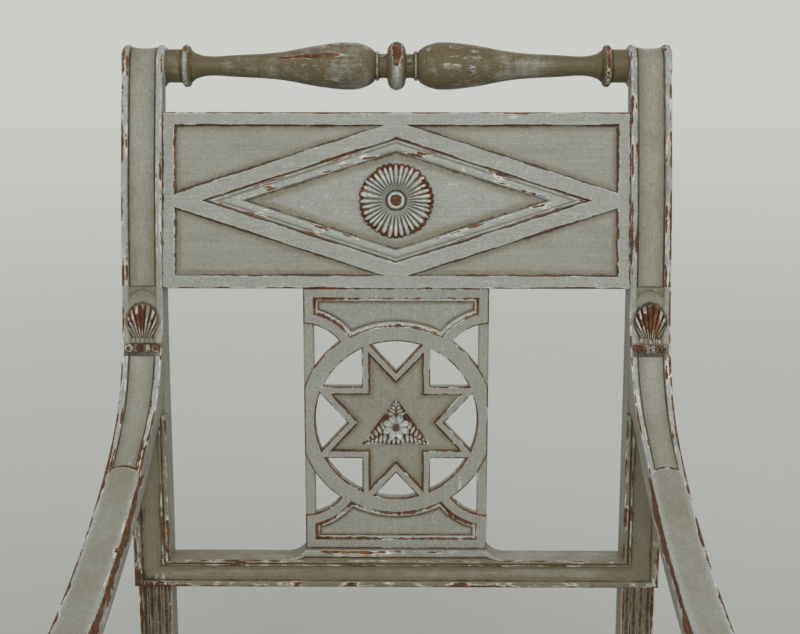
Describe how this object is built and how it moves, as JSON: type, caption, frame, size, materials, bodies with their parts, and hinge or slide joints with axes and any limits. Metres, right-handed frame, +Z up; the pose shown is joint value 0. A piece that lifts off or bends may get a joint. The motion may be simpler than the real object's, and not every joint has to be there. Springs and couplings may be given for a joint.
{
  "type": "armchair",
  "caption": "Painted wooden armchair with rolled back posts, a turned top rail, a lozenge panel, a pierced star splat, scrolled arms on turned supports, fluted legs and a drop-in seat.",
  "frame": {"origin": "on the floor, under the middle of the chair's overall box", "axes": "+Z up, +Y towards the back, +X to the right as seen from the front"},
  "size_m": [0.495, 0.53, 0.9884],
  "materials": {
    "painted_wood": "worn grey-green paint with brown edges",
    "bare_wood": "bare aged pine",
    "iron": "dull dark iron",
    "webbing": "woven jute",
    "hessian": "coarse woven",
    "padding": "matte wadding",
    "seat_fabric": "plain woven linen"
  },
  "bodies": {
    "frame": {"left_back_post": "painted_wood", "right_back_post": "painted_wood", "turned_top_rail": "painted_wood", "lozenge_panel": "painted_wood", "panel_rosette": "painted_wood", "pierced_splat": "painted_wood", "star_leaf_spray": "painted_wood", "lower_back_rail": "painted_wood", "left_arm": "painted_wood", "right_arm": "painted_wood", "left_arm_support": "painted_wood", "right_arm_support": "painted_wood", "left_front_leg": "painted_wood", "right_front_leg": "painted_wood", "left_seat_rail": "painted_wood", "right_seat_rail": "painted_wood", "front_seat_rail": "painted_wood", "rear_seat_rail": "painted_wood", "front_left_corner_block": "bare_wood", "front_right_corner_block": "bare_wood", "rear_left_corner_block": "bare_wood", "rear_right_corner_block": "bare_wood", "corner_block_screws": "iron", "arm_screws": "iron", "seat_rail_pegs": "painted_wood", "back_frame_pegs": "painted_wood"},
    "slip_seat": {"slip_front_bar": "bare_wood", "slip_rear_bar": "bare_wood", "slip_left_bar": "bare_wood", "slip_right_bar": "bare_wood", "webbing_lengthwise": "webbing", "webbing_crosswise": "webbing", "hessian": "hessian", "seat_padding": "padding", "seat_cover": "seat_fabric", "cover_tacks": "iron"}
  },
  "joints": [
    {"name": "seat_lift", "type": "slide", "parent": "frame", "child": "slip_seat", "axis": [0, 0, 1], "range_m": [0, 0.08]}
  ]
}
